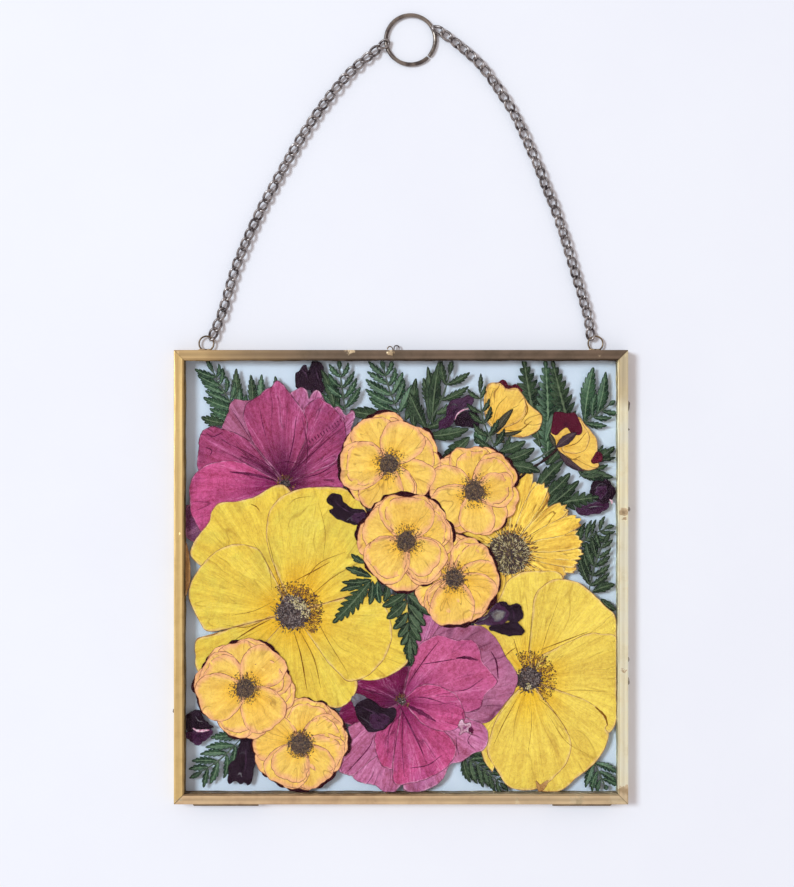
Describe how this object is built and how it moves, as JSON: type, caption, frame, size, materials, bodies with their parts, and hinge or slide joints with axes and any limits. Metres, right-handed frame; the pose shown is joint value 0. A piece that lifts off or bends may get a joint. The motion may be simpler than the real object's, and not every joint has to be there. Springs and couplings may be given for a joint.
{
  "type": "pressed flower frame",
  "caption": "Square double-glass frame with thin brass edges, hinged to open, holding dried flowers and fern, with a chain and split ring to hang it by",
  "frame": {"origin": "Middle of the box round the frame, its hinges and its corner rings, on the surface that the back glass faces. The chain and the split ring are left out", "axes": "+Z out of the front glass, +Y from the hinged edge to the chain's edge, +X to the right when the front glass is seen with the chain above"},
  "size_m": [0.203, 0.3567, 0.0072],
  "materials": {
    "aged_brass": "aged, satin, with solder marks",
    "dark_bronze": "dark antiqued",
    "clear_glass": "clear sheet",
    "magenta_petals": "dried petals",
    "yellow_petals": "dried petals",
    "golden_petals": "dried petals",
    "purple_florets": "dried petals",
    "dried_fern": "dried leaves"
  },
  "bodies": {
    "back_half": {"back_glass": "clear_glass", "back_rail_bottom": "aged_brass", "back_rail_left": "aged_brass", "back_rail_right": "aged_brass", "back_rail_top": "aged_brass", "bud_right": "golden_petals", "bud_upper": "golden_petals", "chain_left": "dark_bronze", "chain_right": "dark_bronze", "daisy": "golden_petals", "fern_above_roses": "dried_fern", "fern_behind_buds": "dried_fern", "fern_behind_daisy": "dried_fern", "fern_bottom": "dried_fern", "fern_bottom_left": "dried_fern", "fern_by_bud": "dried_fern", "fern_corner_low": "dried_fern", "fern_corner_right": "dried_fern", "fern_hanging": "dried_fern", "fern_over_yellow": "dried_fern", "fern_right_edge": "dried_fern", "fern_right_small": "dried_fern", "fern_top_left": "dried_fern", "fern_top_middle": "dried_fern", "fern_top_right": "dried_fern", "fern_top_stem": "dried_fern", "hanging_ring_left": "aged_brass", "hanging_ring_right": "aged_brass", "hinge_left_back_leaf": "aged_brass", "hinge_left_pin": "aged_brass", "hinge_right_back_leaf": "aged_brass", "hinge_right_pin": "aged_brass", "latch_eye_back": "dark_bronze", "magenta_flower_lower": "magenta_petals", "magenta_flower_upper": "magenta_petals", "purple_floret_bottom": "purple_florets", "purple_floret_lower_left": "purple_florets", "purple_floret_lower_middle": "purple_florets", "purple_floret_middle_left": "purple_florets", "purple_floret_middle_right": "purple_florets", "purple_floret_right": "purple_florets", "purple_floret_top_left": "purple_florets", "purple_floret_top_right": "purple_florets", "rose_lower_left": "golden_petals", "rose_lower_middle": "golden_petals", "rose_middle": "golden_petals", "rose_middle_right": "golden_petals", "rose_upper": "golden_petals", "rose_upper_right": "golden_petals", "top_ring": "dark_bronze", "yellow_flower_left": "yellow_petals", "yellow_flower_right": "yellow_petals"},
    "front_half": {"front_glass": "clear_glass", "front_rail_bottom": "aged_brass", "front_rail_left": "aged_brass", "front_rail_right": "aged_brass", "front_rail_top": "aged_brass", "hinge_left_front_leaf": "aged_brass", "hinge_right_front_leaf": "aged_brass", "latch_eye_front": "aged_brass"}
  },
  "joints": [
    {"name": "frame_hinge", "type": "hinge", "parent": "back_half", "child": "front_half", "pos_m": [0, -0.10498, 0.0036], "axis": [1, 0, 0], "range_deg": [0, 180]}
  ]
}
